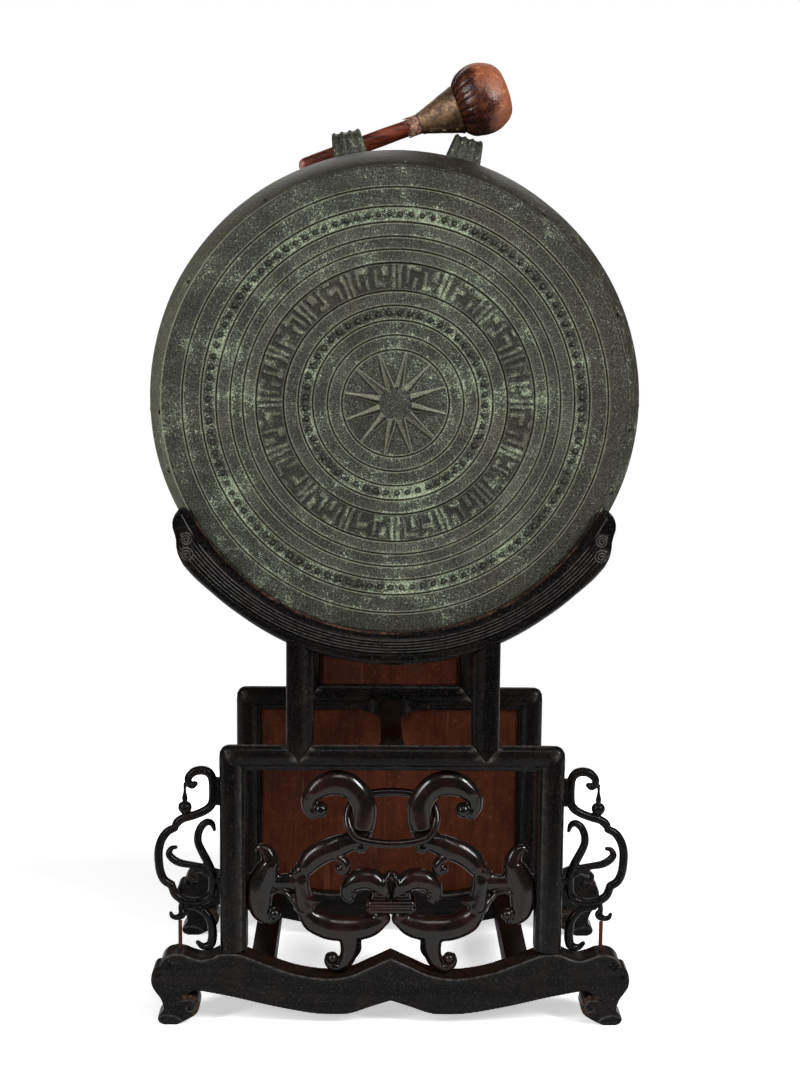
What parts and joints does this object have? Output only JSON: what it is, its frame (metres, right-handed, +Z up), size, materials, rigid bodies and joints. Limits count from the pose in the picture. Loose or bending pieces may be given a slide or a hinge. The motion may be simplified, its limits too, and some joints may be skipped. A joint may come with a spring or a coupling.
{
  "type": "tam tam gong",
  "caption": "Cast bronze drum-gong with ringed relief face, lying in a carved ebonised wood cradle stand, with a leather-headed mallet stored through its handle loops.",
  "frame": {"origin": "centre of the stand's footprint on the floor", "axes": "+Z up, -Y towards the struck face and the viewer, +X to the viewer's right"},
  "size_m": [0.492, 0.281, 0.9683],
  "materials": {
    "ebonised_wood": "black lacquer over dense hardwood, satin, worn brown on edges",
    "red_wood": "reddish brown stained softer wood, dull satin",
    "peg_wood": "bare reddish dowel",
    "gong_bronze": "cast bronze with a grey-green patina and pale verdigris in the recesses",
    "mallet_wood": "red-brown varnished hardwood",
    "binding_cord": "frayed plant fibre wrapping",
    "sheet_bronze": "brown tarnished bronze sheet",
    "mallet_leather": "dark oiled hide, worn tan where it strikes",
    "head_felt": "packed cloth wadding"
  },
  "bodies": {
    "stand": {"front_base_rail": "ebonised_wood", "front_post_left": "ebonised_wood", "front_post_right": "ebonised_wood", "front_top_rail": "ebonised_wood", "front_upright_left": "ebonised_wood", "front_upright_right": "ebonised_wood", "front_cradle": "ebonised_wood", "back_base_rail": "ebonised_wood", "back_post_left": "ebonised_wood", "back_post_right": "ebonised_wood", "back_top_rail": "ebonised_wood", "back_upright_left": "ebonised_wood", "back_upright_right": "ebonised_wood", "back_cradle": "ebonised_wood", "top_stretcher": "ebonised_wood", "openwork_left": "ebonised_wood", "openwork_right": "ebonised_wood", "link_ring": "ebonised_wood", "tie_band": "ebonised_wood", "wing_left": "ebonised_wood", "wing_right": "ebonised_wood", "lower_panel": "red_wood", "upper_panel": "red_wood", "bottom_stretcher_left": "red_wood", "bottom_stretcher_right": "red_wood", "wing_peg_left": "peg_wood", "wing_peg_right": "peg_wood"},
    "gong": {"drum_shell": "gong_bronze", "handle_upper_left": "gong_bronze", "handle_upper_right": "gong_bronze", "handle_lower_left": "gong_bronze", "handle_lower_right": "gong_bronze"},
    "mallet": {"mallet_shaft": "mallet_wood", "mallet_binding": "binding_cord", "mallet_ferrule": "sheet_bronze", "ferrule_rivet": "sheet_bronze", "mallet_head_cover": "mallet_leather", "mallet_head_padding": "head_felt"}
  },
  "joints": [
    {"name": "gong_lift", "type": "slide", "parent": "stand", "child": "gong", "axis": [0, 0, 1], "range_m": [0, 0.3]},
    {"name": "mallet_draw", "type": "slide", "parent": "gong", "child": "mallet", "axis": [0.9379, 0, 0.3469], "range_m": [0, 0.16]}
  ]
}
